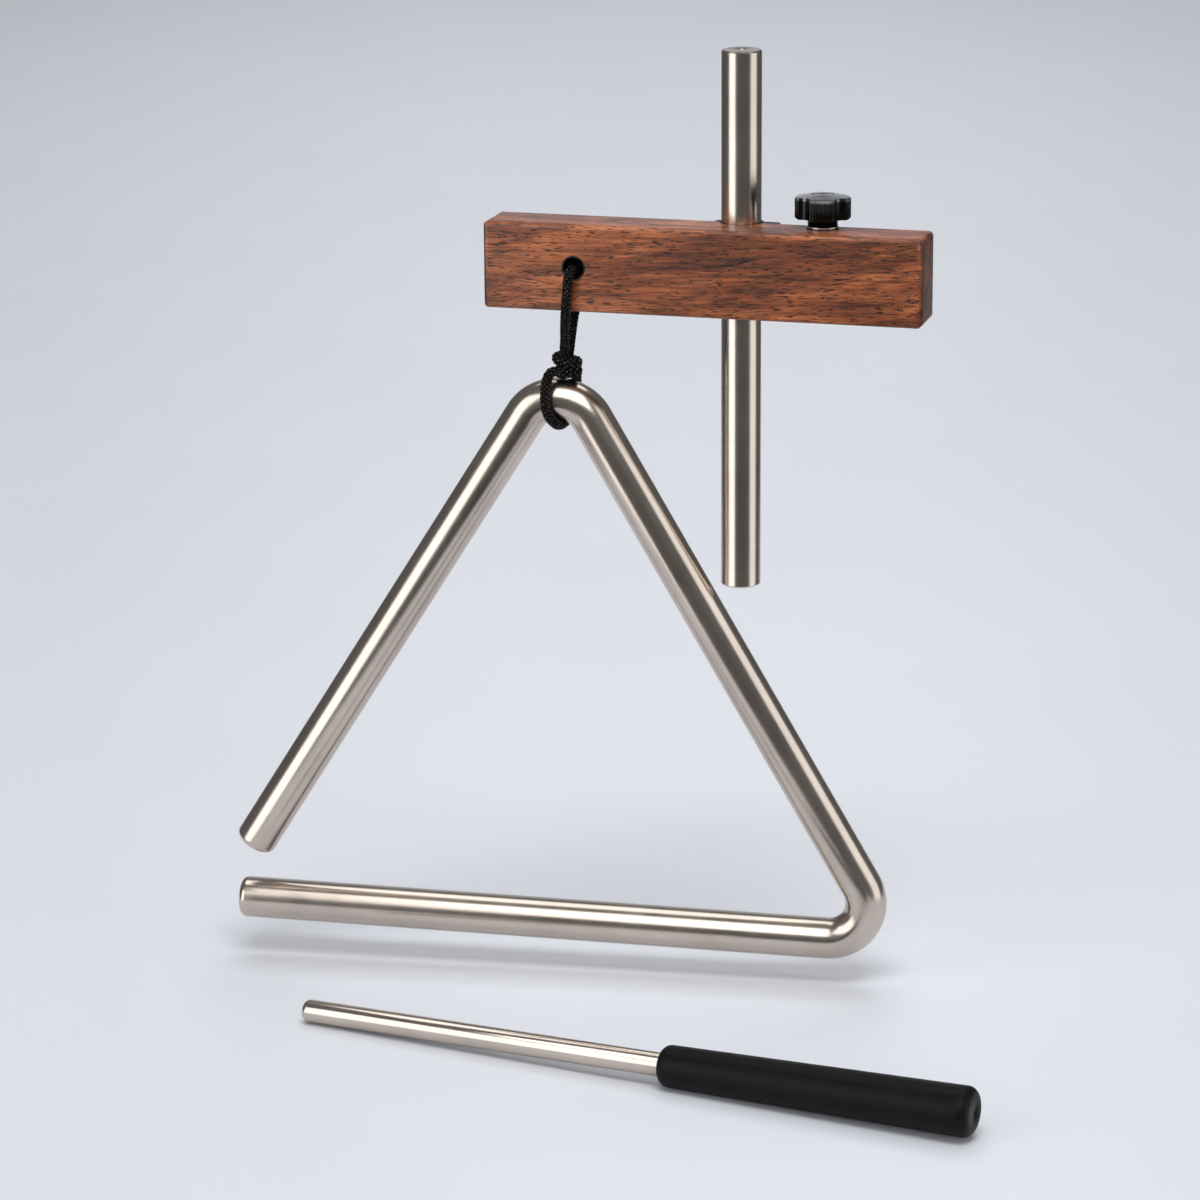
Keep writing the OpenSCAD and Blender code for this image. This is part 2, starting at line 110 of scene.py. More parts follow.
def newFinish(name):
    finish = bpy.data.materials.new(name)
    finish.use_nodes = True
    tree = finish.node_tree
    tree.nodes.clear()
    shader = addNode(tree, "ShaderNodeBsdfPrincipled")
    addNode(tree, "ShaderNodeOutputMaterial", {"Surface": shader.outputs["BSDF"]})
    return finish, tree, shader


def plainCoords(tree):
    return addNode(tree, "ShaderNodeTexCoord").outputs["Object"]


def objectCoords(tree, scale, turn=(0, 0, 0), shift=(0, 0, 0)):
    return addNode(tree, "ShaderNodeMapping", {
        "Vector": plainCoords(tree), "Location": shift, "Rotation": turn, "Scale": scale,
    }).outputs["Vector"]


def axesOf(tree, vector):
    return addNode(tree, "ShaderNodeSeparateXYZ", {"Vector": vector}).outputs


def noiseOf(tree, vector, detail, rough, distortion=0.0, output="Fac"):
    return addNode(tree, "ShaderNodeTexNoise", {
        "Vector": vector, "Scale": 1.0, "Detail": detail, "Roughness": rough, "Distortion": distortion,
    }).outputs[output]


def rampOf(tree, value, stops):
    ramp = addNode(tree, "ShaderNodeValToRGB", {"Fac": value})
    elements = ramp.color_ramp.elements
    while len(elements) < len(stops):
        elements.new(0.5)
    for element, (place, colour) in zip(elements, stops):
        element.position = place
        element.color = (*colour, 1)
    return ramp.outputs["Color"]


def mixColours(tree, share, first, second, blend="MIX"):
    # inputs 6 and 7 and output 2 are the mix node's colour sockets
    return addNode(tree, "ShaderNodeMix", {"Factor": share, 6: first, 7: second},
                   data_type="RGBA", blend_type=blend).outputs[2]


def rangeOf(tree, value, before, after=(0.0, 1.0)):
    return addNode(tree, "ShaderNodeMapRange", {
        "Value": value, "From Min": before[0], "From Max": before[1],
        "To Min": after[0], "To Max": after[1],
    }).outputs["Result"]


def mathOf(tree, operation, first, second=0.0):
    return addNode(tree, "ShaderNodeMath", {0: first, 1: second}, operation=operation).outputs["Value"]


def blendOf(tree, first, second, firstShare):
    return mathOf(tree, "ADD", mathOf(tree, "MULTIPLY", first, firstShare),
                  mathOf(tree, "MULTIPLY", second, 1 - firstShare))


def addBump(tree, shader, height, strength, distance):
    bump = addNode(tree, "ShaderNodeBump", {"Height": height, "Strength": strength, "Distance": distance})
    feed(tree, shader.inputs["Normal"], bump.outputs["Normal"])


# Metal
metalLook = {
    "cloudScale": 45,
    "cloudStops": (0.35, 0.6),
    "cloudDark": 0.9,
    "fineShare": 0.6,
    "unevenness": (0.3, 0.7),
    "bumpStrength": 0.05,
    "bumpHeight": 0.00004,
    # painted shade for the washer's side: its dark tint, and how soft its upper edge is
    "paintedShadeTint": (0.12, 0.11, 0.11),
    "paintedShadeEdge": 0.0001,
}


def satinMetal(name, tint, roughness, spread, streaks, paintedShadeBelow=None):
    look = metalLook
    finish, tree, shader = newFinish(name)
    fine = noiseOf(tree, objectCoords(tree, streaks), detail=3.0, rough=0.6)
    cloud = noiseOf(tree, objectCoords(tree, (look["cloudScale"],) * 3), detail=3.0, rough=0.6)
    darkTint = tuple(c * look["cloudDark"] for c in tint)
    colour = rampOf(tree, cloud, list(zip(look["cloudStops"], (darkTint, tint))))
    if paintedShadeBelow is not None:  # painted shade: bright only above this height; below it the washer's side is painted a dull dark tint
        height = axesOf(tree, plainCoords(tree))["Z"]
        paintedShadeMask = rangeOf(tree, height, (paintedShadeBelow - look["paintedShadeEdge"], paintedShadeBelow), (1.0, 0.0))
        colour = mixColours(tree, paintedShadeMask, colour, look["paintedShadeTint"])
    uneven = blendOf(tree, fine, cloud, look["fineShare"])
    feedAll(tree, shader, {
        "Metallic": 1.0, "Base Color": colour,
        "Roughness": rangeOf(tree, uneven, look["unevenness"], (roughness - spread, roughness + spread))})
    addBump(tree, shader, fine, look["bumpStrength"], look["bumpHeight"])
    return finish


# Plastic and rubber
plasticLook = {
    "cloudScale": 60,
    "cloudStops": (0.3, 0.7),
    "cloudShades": (0.75, 1.25),
    "smoother": 0.05,
    "rougher": 0.06,
    "bumpHeight": 0.00006,
    "polishEdge": 0.0004,
    "polishSpecular": 1.0,
    "coatRoughness": 0.12,
}


def darkPlastic(name, colour, roughness, grain, bump, specular, polishedFrom=None):
    look = plasticLook
    finish, tree, shader = newFinish(name)
    grains = noiseOf(tree, objectCoords(tree, (grain,) * 3), detail=2.0, rough=0.5)
    cloud = noiseOf(tree, objectCoords(tree, (look["cloudScale"],) * 3), detail=4.0, rough=0.6)
    shades = [tuple(c * shade for c in colour) for shade in look["cloudShades"]]
    feedAll(tree, shader, {
        "Specular IOR Level": specular,
        "Base Color": rampOf(tree, cloud, list(zip(look["cloudStops"], shades))),
        "Roughness": rangeOf(tree, cloud, look["cloudStops"],
                             (roughness - look["smoother"], roughness + look["rougher"]))})
    addBump(tree, shader, grains, bump, look["bumpHeight"])
    if polishedFrom is not None:  # polished above this height
        height = axesOf(tree, plainCoords(tree))["Z"]
        polish = rangeOf(tree, height, (polishedFrom, polishedFrom + look["polishEdge"]))
        feedAll(tree, shader, {
            "Specular IOR Level": rangeOf(tree, polish, (0.0, 1.0), (specular, look["polishSpecular"])),
            "Coat Weight": polish, "Coat Roughness": look["coatRoughness"]})
    return finish


# Wood
woodLook = {
    "dark": (0.024, 0.009, 0.006),
    "middle": (0.235, 0.066, 0.025),
    "light": (0.50, 0.160, 0.057),
    "pore": (0.010, 0.004, 0.003),
    "endGrain": (0.055, 0.026, 0.019),
    "toneStops": (0.375, 0.445, 0.51, 0.61),
    "betweenShares": (0.45, 0.55),  # of dark and middle, at the second stop
    "waveScale": (22, 55, 55),
    "waveStart": (0.3, 0.1, 0.6),
    "wavePush": (0.0, 0.004, 0.005),
    "grainRise": 2.5,  # degrees, to the right
    # each layer has so many marks in a metre along and across the grain, and starts so many mm away
    "streaks": {"marks": (1 / 0.036, 1 / 0.0017), "start": (31, 4, 7),
                "detail": 6.0, "rough": 0.72, "distortion": 0.2},
    "broad": {"marks": (0.55 / 0.036, 0.16 / 0.0017), "start": (12, 50, 20),
              "detail": 3.0, "rough": 0.55, "distortion": 1.1, "rise": 15},
    "pores": {"marks": (330, 2300), "detail": 1.0, "rough": 0.5},
    "lines": {"marks": (80, 1900), "start": (70, 30, 10), "detail": 4.0, "rough": 0.65},
    "fibre": {"marks": (90, 4200), "detail": 2.0, "rough": 0.6},
    "streakShare": 0.5,
    "poreStops": (0.595, 0.635),
    "poreShare": 0.85,
    "lineStops": (0.54, 0.67),
    "lineShare": 0.8,
    "ends": (-0.0753, 0.0584),
    "endFade": (0.0012, 0.0003),
    "endShare": 0.6,
    "toneSpan": (0.35, 0.65),
    "roughness": (0.42, 0.32),  # of dark and light wood
    "specular": 0.3,
    "coat": 0.35,
    "coatRoughness": 0.27,
    "fibreHeight": 0.4,
    "bumpStrength": 0.4,
    "bumpHeight": 0.00009,
}


def blockWood(name, look):
    finish, tree, shader = newFinish(name)
    plain = plainCoords(tree)
    # the grain waves, and runs a little upwards to the right
    wave = noiseOf(tree, objectCoords(tree, look["waveScale"], shift=look["waveStart"]),
                   detail=2.0, rough=0.5, output="Color")
    wavy = addNode(tree, "ShaderNodeVectorMath", {0: wave, 1: look["wavePush"], 2: plain},
                   operation="MULTIPLY_ADD").outputs["Vector"]

    def grainNoise(layer):
        along, across = layer["marks"]
        turned = addNode(tree, "ShaderNodeMapping", {
            "Vector": wavy, "Location": tuple(mm * x for x in layer.get("start", (0, 0, 0))),
            "Rotation": (0, -math.radians(layer.get("rise", look["grainRise"])), 0),
            "Scale": (1 / along, 1 / across, 1 / across)}, vector_type="TEXTURE")
        return noiseOf(tree, turned.outputs["Vector"], layer["detail"], layer["rough"],
                       layer.get("distortion", 0.0))

    tone = blendOf(tree, grainNoise(look["streaks"]), grainNoise(look["broad"]), look["streakShare"])
    darkShare, middleShare = look["betweenShares"]
    between = tuple(darkShare * a + middleShare * b for a, b in zip(look["dark"], look["middle"]))
    body = rampOf(tree, tone, list(zip(look["toneStops"], (
        look["dark"], between, look["middle"], look["light"]))))
    pores = rangeOf(tree, grainNoise(look["pores"]), look["poreStops"])
    darkLines = rangeOf(tree, grainNoise(look["lines"]), look["lineStops"], (0.0, look["lineShare"]))
    lined = mixColours(tree, darkLines, body, look["dark"])
    pored = mixColours(tree, mathOf(tree, "MULTIPLY", pores, look["poreShare"]), lined, look["pore"])
    # the two end faces show their end grain, darker and greyer
    along = axesOf(tree, plain)["X"]
    low, high = look["ends"]
    fadeFrom, fadeTo = look["endFade"]
    atEnd = mathOf(tree, "MAXIMUM", *(
        rangeOf(tree, along, span, (0.0, look["endShare"]))
        for span in ((high - fadeFrom, high - fadeTo), (low + fadeFrom, low + fadeTo))))
    feedAll(tree, shader, {
        "Base Color": mixColours(tree, atEnd, pored, look["endGrain"]),
        "Roughness": rangeOf(tree, tone, look["toneSpan"], look["roughness"]),
        "Specular IOR Level": look["specular"],
        "Coat Weight": look["coat"], "Coat Roughness": look["coatRoughness"]})
    fibres = mathOf(tree, "MULTIPLY", grainNoise(look["fibre"]), look["fibreHeight"])
    height = mathOf(tree, "SUBTRACT", fibres, mathOf(tree, "ADD", pores, darkLines))
    addBump(tree, shader, height, look["bumpStrength"], look["bumpHeight"])
    return finish


# Finishes, by the slot that they fill; heights are in metres, streaks and grains are marks in a metre
steelTint = (0.60, 0.525, 0.46)
finishes = {
    "post_steel": satinMetal("satinPostSteel", steelTint, roughness=0.23, spread=0.03,
                             streaks=(1500, 1500, 25)),
    "triangle_steel": satinMetal("satinNickel", steelTint, roughness=0.22, spread=0.03,
                                 streaks=(160, 160, 160)),
    "beater_steel": satinMetal("beaterSteel", steelTint, roughness=0.18, spread=0.03,
                               streaks=(60, 900, 900)),
    # painted shade: the washer's side below the given height is painted dark, which leaves a bright top rim
    "washer_steel": satinMetal("brightWasherPaintedShade", (0.95, 0.94, 0.93), roughness=0.25, spread=0.02,
                               streaks=(900, 900, 900), paintedShadeBelow=0.11175),
    "screw_steel": satinMetal("blackenedScrewSteel", (0.16, 0.16, 0.17), roughness=0.35, spread=0.06,
                              streaks=(900, 900, 900)),
    "nut_steel": satinMetal("milledNutSteel", (0.42, 0.41, 0.40), roughness=0.32, spread=0.06,
                            streaks=(400, 400, 2500)),
    "insert_brass": satinMetal("turnedBrass", (0.70, 0.47, 0.18), roughness=0.22, spread=0.05,
                               streaks=(400, 400, 2500)),
    "knob_plastic": darkPlastic("mouldedKnobPlastic", (0.0016, 0.0016, 0.0018), roughness=0.17,
                                grain=1400, bump=0.05, specular=0.22, polishedFrom=0.1196),
    "cap_plastic": darkPlastic("glossyCapPlastic", (0.004, 0.004, 0.005), roughness=0.07,
                               grain=600, bump=0.02, specular=1.0, polishedFrom=0.1190),
    "black_liner": darkPlastic("blackLiner", (0.005, 0.005, 0.005), roughness=0.5,
                               grain=2200, bump=0.15, specular=0.25),
    "black_plate": darkPlastic("grainedSaddlePlastic", (0.008, 0.008, 0.009), roughness=0.45,
                               grain=2600, bump=0.25, specular=0.3),
    "shoe_plastic": darkPlastic("shoePlastic", (0.05, 0.05, 0.055), roughness=0.5,
                                grain=2200, bump=0.15, specular=0.4),
    "grip_rubber": darkPlastic("gripRubber", (0.0030, 0.0030, 0.0033), roughness=0.42,
                               grain=2600, bump=0.9, specular=0.13),
    "block_wood": blockWood("oiledWood", woodLook),
}
print("finishes made")

# Rigid pieces that keep the shape of their solid
copySettings = {"weldDistance": 2e-6, "sharpAngle": 28}
copiedPieces = {
    "post": "steelPost", "post_sleeve": "sleeveLining", "wood_block": "woodenBlock",
    "cord_bush": "holeLining", "post_saddle": "rearSaddle", "saddle_screws": "saddleScrewSet",
    "knob_washer": "underKnobWasher", "knob": "lobedKnob", "knob_insert": "brassInsert",
    "knob_cap": "roundCap", "clamp_stud": "threadedStud", "stud_clip": "retainingClip",
    "wedge_nut": "wedgeNutPiece", "clamp_shoe": "clampShoePiece",
    "beater_rod": "beaterSteelRod", "beater_grip": "rubberGrip",
}


def smoothCopy(node, pieceName, settings):
    shape = bmesh.new()
    shape.from_mesh(frame["nodes"][node].data)
    bmesh.ops.remove_doubles(shape, verts=shape.verts, dist=settings["weldDistance"])
    mesh = bpy.data.meshes.new(pieceName)
    shape.to_mesh(mesh)
    shape.free()
    mesh.shade_smooth()
    mesh.set_sharp_from_angle(angle=math.radians(settings["sharpAngle"]))
    mesh.materials.clear()
    mesh.materials.append(finishes[slotOf[node]])
    piece = addObject(pieceName, mesh)
    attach(piece, bodyOf[node])
    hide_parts(node)


for node, pieceName in copiedPieces.items():
    smoothCopy(node, pieceName, copySettings)
print("rigid pieces dressed")


# Geometry node helpers
def newTree(name, inputs):
    tree = bpy.data.node_groups.new(name, "GeometryNodeTree")
    tree.interface.new_socket("Geometry", in_out="INPUT", socket_type="NodeSocketGeometry")
    for label, (kind, value) in inputs.items():
        socket = tree.interface.new_socket(label, in_out="INPUT", socket_type=kind)
        if value is not None:
            socket.default_value = value
    tree.interface.new_socket("Geometry", in_out="OUTPUT", socket_type="NodeSocketGeometry")
    return tree, addNode(tree, "NodeGroupInput").outputs


def endTree(tree, mesh, finish):
    smooth = addNode(tree, "GeometryNodeSetShadeSmooth", {"Geometry": mesh})
    real = addNode(tree, "GeometryNodeRealizeInstances", {"Geometry": smooth.outputs["Geometry"]})
    dressed = addNode(tree, "GeometryNodeSetMaterial", {
        "Geometry": real.outputs["Geometry"], "Material": finish})
    addNode(tree, "NodeGroupOutput", {"Geometry": dressed.outputs["Geometry"]})
    return tree


def guideObject(name, points, closed=False, girths=None):
    mesh = bpy.data.meshes.new(name)
    edges = [(i, i + 1) for i in range(len(points) - 1)] + ([(len(points) - 1, 0)] if closed else [])
    mesh.from_pydata([tuple(p) for p in points], edges, [])
    if girths:
        layer = mesh.attributes.new("girth", "FLOAT", "POINT")
        layer.data.foreach_set("value", girths)
    return addObject(name, mesh)


def runTree(guide, tree, values, pieceName):
    modifier = guide.modifiers.new("maker", "NODES")
    modifier.node_group = tree
    for item in tree.interface.items_tree:
        if item.in_out == "INPUT" and item.name in values:
            modifier[item.identifier] = values[item.name]
    scene.view_layers[0].update()
    evaluated = guide.evaluated_get(bpy.context.evaluated_depsgraph_get())
    mesh = bpy.data.meshes.new_from_object(evaluated)
    mesh.name = pieceName
    guide.modifiers.remove(modifier)
    bpy.data.objects.remove(guide)
    return addObject(pieceName, mesh)


# Triangle
triangleSizes = {  # millimetres and degrees, as in the solid
    "rodRadius": 6.35, "base": 213.2, "height": 177.1, "bendRadius": 11.9,
    "legCut": 20.9, "baseCut": 6.8, "endRounding": 2.2,
    "hangPoint": (-54.6, -8.55, 44.4), "turn": 5.5,
    "sides": 72, "runSteps": 40, "bendSteps": 26, "endSteps": 12,
}


def trianglePath(sizes):
    rounding, radius, bend = sizes["endRounding"], sizes["rodRadius"], sizes["bendRadius"]
    halfAngle = math.atan(sizes["base"] / 2 / sizes["height"])
    cornerAngle = math.pi / 2 - halfAngle
    topHalf, cornerHalf = math.pi / 2 - halfAngle, math.pi / 2 - cornerAngle / 2
    topReach, cornerReach = bend / math.tan(halfAngle), bend / math.tan(cornerAngle / 2)
    leg = math.hypot(sizes["base"] / 2, sizes["height"])
    openLeg, openBase = leg - sizes["legCut"], sizes["base"] - sizes["baseCut"]
    leftDir = Vector((-math.sin(halfAngle), -math.cos(halfAngle)))
    rightDir = Vector((math.sin(halfAngle), -math.cos(halfAngle)))
    inward = Vector((-math.cos(cornerAngle / 2), math.sin(cornerAngle / 2)))
    corner = leg * rightDir
    topCentre = Vector((0, -bend / math.sin(halfAngle)))
    cornerCentre = corner + bend / math.sin(cornerAngle / 2) * inward
    leftTip, baseTip = leftDir * openLeg, corner + Vector((-openBase, 0))

    # the triangle hangs with its balance point under the cord
    parts = [  # length and centre of each run
        (openLeg - topReach, leftDir * (openLeg + topReach) / 2),
        (leg - cornerReach - topReach, rightDir * (leg - cornerReach + topReach) / 2),
        (openBase - cornerReach, corner + Vector((-1, 0)) * (openBase + cornerReach) / 2),
        (2 * bend * topHalf, topCentre + Vector((0, bend * math.sin(topHalf) / topHalf))),
        (2 * bend * cornerHalf, cornerCentre - bend * math.sin(cornerHalf) / cornerHalf * inward),
    ]
    balance = sum((length * centre for length, centre in parts), Vector((0, 0)))
    balance = balance / sum(length for length, centre in parts)
    tilt = math.atan(balance.x / (topCentre.y - balance.y))

    # each stretch is a list of places, with the rod's girth there
    def roundedEnd(tip, inwardDir):  # from the flat end face to the full rod
        angles = (math.pi / 2 * i / sizes["endSteps"] for i in range(sizes["endSteps"], -1, -1))
        return [(tip + inwardDir * rounding * (1 - math.sin(a)),
                 (radius - rounding * (1 - math.cos(a))) / radius) for a in angles]

    def straightRun(start, end):
        return [(start.lerp(end, i / sizes["runSteps"]), 1.0) for i in range(1, sizes["runSteps"])]

    def bentRun(centre, start, end):
        angles = (start + (end - start) * i / sizes["bendSteps"] for i in range(sizes["bendSteps"] + 1))
        return [(centre + bend * Vector((math.cos(a), math.sin(a))), 1.0) for a in angles]

    route = (roundedEnd(leftTip, -leftDir)
             + straightRun(leftTip - leftDir * rounding, leftDir * topReach)
             + bentRun(topCentre, math.pi - halfAngle, halfAngle)
             + straightRun(rightDir * topReach, rightDir * (leg - cornerReach))
             + bentRun(cornerCentre, halfAngle, -math.pi / 2)
             + straightRun(corner + Vector((-cornerReach, 0)), baseTip + Vector((rounding, 0)))
             + roundedEnd(baseTip, Vector((1, 0)))[::-1])
    turn = math.radians(sizes["turn"])
    placed = []
    for place, girth in route:
        d = place - topCentre
        along = d.x * math.cos(tilt) + d.y * math.sin(tilt)
        up = -d.x * math.sin(tilt) + d.y * math.cos(tilt)
        placed.append((Vector((along * math.cos(turn), along * math.sin(turn), up))
                       + Vector(sizes["hangPoint"])) * mm)
    return placed, [girth for place, girth in route]


def rodTree():
    tree, given = newTree("sweptRod", {
        "Rod radius": ("NodeSocketFloat", 0.006), "Sides": ("NodeSocketInt", 48),
        "Finish": ("NodeSocketMaterial", None)})
    curve = addNode(tree, "GeometryNodeMeshToCurve", {"Mesh": given["Geometry"]})
    girth = addNode(tree, "GeometryNodeInputNamedAttribute", {"Name": "girth"}, data_type="FLOAT")
    profile = addNode(tree, "GeometryNodeCurvePrimitiveCircle", {
        "Resolution": given["Sides"], "Radius": given["Rod radius"]})
    swept = addNode(tree, "GeometryNodeCurveToMesh", {
        "Curve": curve.outputs["Curve"], "Profile Curve": profile.outputs["Curve"],
        "Scale": girth.outputs["Attribute"], "Fill Caps": True})
    return endTree(tree, swept.outputs["Mesh"], given["Finish"])


def makeTriangle(sizes):
    points, girths = trianglePath(sizes)
    guide = guideObject("triangleGuide", points, girths=girths)
    piece = runTree(guide, rodTree(), {
        "Rod radius": sizes["rodRadius"] * mm, "Sides": sizes["sides"],
        "Finish": finishes["triangle_steel"]}, "bentTriangle")
    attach(piece, "triangle")
    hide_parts("triangle")
    print("triangle bent,", len(piece.data.polygons), "faces")


makeTriangle(triangleSizes)

# Cord
cordSizes = {  # millimetres
    "strandRadius": 1.6, "loopRadius": 1.68, "knotRadius": 2.0, "twistLength": 8.0, "step": 0.28,
    "yarns": 12, "yarnShare": 0.26, "liftShare": 0.11,  # shares of the cord's radius
    "yarnSides": 6, "coreSides": 12, "spanSteps": 6,
}
cordLook = {
    # painted highlight: the fleck colour is painted on the tops of the raised yarns as their glints
    "black": (0.0005, 0.0005, 0.0005), "paintedHighlight": (0.17, 0.155, 0.14),
    "raisedSpan": (0.7, 1.0), "paintedHighlightSpan": (0.46, 0.56), "fibreScale": 2600,
    "roughness": 0.42, "specular": 0.08, "bumpStrength": 0.4, "bumpHeight": 0.00008,
}
strandPoints = [  # up the front, through the hole and down the back; both ends are in the knot
    (-52, -9.5, 69.6), (-52, -10.2, 71.8), (-51.1, -12.7, 75.2), (-50.2, -15.7, 79.9), (-49.4, -18, 83.4),
    (-49, -19, 86.8), (-48.6, -19, 90.5), (-48.3, -19, 94), (-48, -18.5, 96.5),
    (-47.8, -16.2, 97.4), (-47.7, -11, 97.4), (-47.8, -6, 97.4), (-48, -0.9, 97.4),
    (-48.4, 1.4, 96.5), (-48.8, 1.9, 94), (-49.8, 1.9, 90.5), (-50.7, 1.9, 86.8),
    (-51.3, 0.9, 83.4), (-51.6, -1.4, 79.9), (-51.5, -4.4, 75.2), (-51.4, -6.3, 72.3), (-51.5, -7.3, 69.6),
]
loopPoints = [  # from the knot down the front, under the rod and up the back
    (-51.2, -8.0, 65.0), (-52.2, -11.0, 64.3), (-53.9, -12.4, 65.5), (-55.4, -14.3, 65.1),
    (-56.0, -15.9, 63.0), (-56.2, -16.8, 60.0), (-56.2, -16.9, 56.6), (-55.8, -16.1, 53.2),
    (-55.0, -14.2, 50.7), (-54.2, -11.7, 49.0), (-53.8, -8.5, 48.3), (-53.4, -5.2, 48.5),
    (-52.6, -1.9, 49.8), (-51.8, 0.1, 52.8), (-51.4, 0.6, 56.6), (-51.2, -0.1, 60.4),
    (-50.7, -2.6, 63.4), (-50.5, -4.6, 64.6), (-51.3, -6.6, 65.8),
]
knotSizes = {  # two turns round the tied runs: where, how wide, how much leaned
    "place": (-51.8, -8.5, 68.1), "steps": 96,
    "upperRadius": 2.85, "upperAt": (0.1, 0.0, 0.4), "upperLean": (8, 14),
    "lowerRadius": 2.3, "lowerAt": (0.6, 0.0, -3.1), "lowerLean": (-6, 6),
}


def cordFinish(look):
    finish, tree, shader = newFinish("blackBraid")
    raised = addNode(tree, "ShaderNodeAttribute", attribute_name="raised").outputs["Fac"]
    fibre = noiseOf(tree, objectCoords(tree, (look["fibreScale"],) * 3), detail=3.0, rough=0.6)
    # painted highlight: light flecks painted where the yarns are raised, standing in for the braid's glints
    paintedHighlight = mathOf(tree, "MULTIPLY", rangeOf(tree, raised, look["raisedSpan"]),
                   rangeOf(tree, fibre, look["paintedHighlightSpan"]))
    feedAll(tree, shader, {
        "Base Color": mixColours(tree, paintedHighlight, look["black"], look["paintedHighlight"]),
        "Roughness": look["roughness"], "Specular IOR Level": look["specular"]})
    addBump(tree, shader, fibre, look["bumpStrength"], look["bumpHeight"])
    return finish


def smoothRoute(points, steps):
    # a smooth curve that runs through all the route's points
    last, out = len(points) - 1, []
    for i in range(last):
        p0, p1, p2, p3 = (Vector(points[min(max(i + k, 0), last)]) for k in (-1, 0, 1, 2))
        for j in range(steps):
            t = j / steps
            out.append(0.5 * ((2 * p1) + (p2 - p0) * t + (2 * p0 - 5 * p1 + 4 * p2 - p3) * t * t
                              + (3 * p1 - p0 - 3 * p2 + p3) * t ** 3))
    out.append(Vector(points[last]))
    return [p * mm for p in out]


def knotRoute(sizes):
    def turnPoint(angle, which):
        radius, centre = sizes[which + "Radius"], Vector(sizes[which + "At"])
        leanX, leanY = (math.radians(lean) for lean in sizes[which + "Lean"])
        spin = Matrix.Rotation(leanY, 3, "Y") @ Matrix.Rotation(leanX, 3, "X")
        return spin @ Vector((radius * math.cos(angle), radius * math.sin(angle), 0)) + centre

    points = []
    for i in range(sizes["steps"]):
        angle = 4 * math.pi * i / sizes["steps"]  # twice round
        # the route eases from the upper turn to the lower one and back
        share = 0.5 + 0.5 * math.cos(angle / 2 + math.pi / 4)
        share = share * share * (3 - 2 * share)
        place = share * turnPoint(angle, "upper") + (1 - share) * turnPoint(angle, "lower")
        points.append((place + Vector(sizes["place"])) * mm)
    return points


def braidTree(sizes):
    tree, given = newTree("braidedCord", {
        "Cord radius": ("NodeSocketFloat", 0.0016), "Yarns": ("NodeSocketInt", 12),
        "Yarn radius": ("NodeSocketFloat", 0.0004), "Lift": ("NodeSocketFloat", 0.00017),
        "Twist length": ("NodeSocketFloat", 0.008), "Step": ("NodeSocketFloat", 0.0003),
        "Finish": ("NodeSocketMaterial", None)})

    def calc(operation, first, second=0.0):
        return mathOf(tree, operation, first, second)

    def vectorCalc(operation, inputs):
        return addNode(tree, "ShaderNodeVectorMath", inputs, operation=operation).outputs["Vector"]

    def sweep(curve, sides, radius):
        profile = addNode(tree, "GeometryNodeCurvePrimitiveCircle", {"Resolution": sides, "Radius": radius})
        return addNode(tree, "GeometryNodeCurveToMesh", {
            "Curve": curve, "Profile Curve": profile.outputs["Curve"], "Fill Caps": True}).outputs["Mesh"]

    curve = addNode(tree, "GeometryNodeMeshToCurve", {"Mesh": given["Geometry"]})
    even = addNode(tree, "GeometryNodeResampleCurve", {
        "Curve": curve.outputs["Curve"], "Length": given["Step"]}, mode="LENGTH").outputs["Curve"]
    many = addNode(tree, "GeometryNodeDuplicateElements", {
        "Geometry": even, "Amount": given["Yarns"]}, domain="SPLINE")
    index = many.outputs["Duplicate Index"]
    # even yarns turn one way, odd yarns the other
    hand = calc("SUBTRACT", 1.0, calc("MULTIPLY", calc("MODULO", index, 2.0), 2.0))
    pair = calc("FLOOR", calc("DIVIDE", index, 2.0))
    phase = calc("DIVIDE", calc("MULTIPLY", pair, 4 * math.pi), given["Yarns"])
    length = addNode(tree, "GeometryNodeSplineParameter").outputs["Length"]
    travel = calc("MULTIPLY", calc("DIVIDE", length, given["Twist length"]), 2 * math.pi)
    angle = calc("ADD", calc("MULTIPLY", travel, hand), phase)
    # each yarn rises over the ones that it crosses, and dips under the next
    wave = calc("COSINE", calc("MULTIPLY", calc("MULTIPLY", travel, given["Yarns"]), 0.5))
    raised = calc("MULTIPLY", wave, hand)
    middle = calc("SUBTRACT", calc("SUBTRACT", given["Cord radius"], given["Yarn radius"]), given["Lift"])
    reach = calc("ADD", middle, calc("MULTIPLY", raised, given["Lift"]))
    normal = addNode(tree, "GeometryNodeInputNormal").outputs["Normal"]
    tangent = addNode(tree, "GeometryNodeInputTangent").outputs["Tangent"]
    side = vectorCalc("CROSS_PRODUCT", {0: tangent, 1: normal})
    offset = vectorCalc("ADD", {
        0: vectorCalc("SCALE", {0: normal, "Scale": calc("MULTIPLY", calc("COSINE", angle), reach)}),
        1: vectorCalc("SCALE", {0: side, "Scale": calc("MULTIPLY", calc("SINE", angle), reach)})})
    marked = addNode(tree, "GeometryNodeStoreNamedAttribute", {
        "Geometry": many.outputs["Geometry"], "Value": raised, "Name": "raised"},
        data_type="FLOAT", domain="POINT")
    moved = addNode(tree, "GeometryNodeSetPosition", {
        "Geometry": marked.outputs["Geometry"], "Offset": offset})
    joined = addNode(tree, "GeometryNodeJoinGeometry")
    feed(tree, joined.inputs[0], sweep(moved.outputs["Geometry"], sizes["yarnSides"], given["Yarn radius"]))
    feed(tree, joined.inputs[0], sweep(even, sizes["coreSides"], middle))
    return endTree(tree, joined.outputs["Geometry"], given["Finish"])


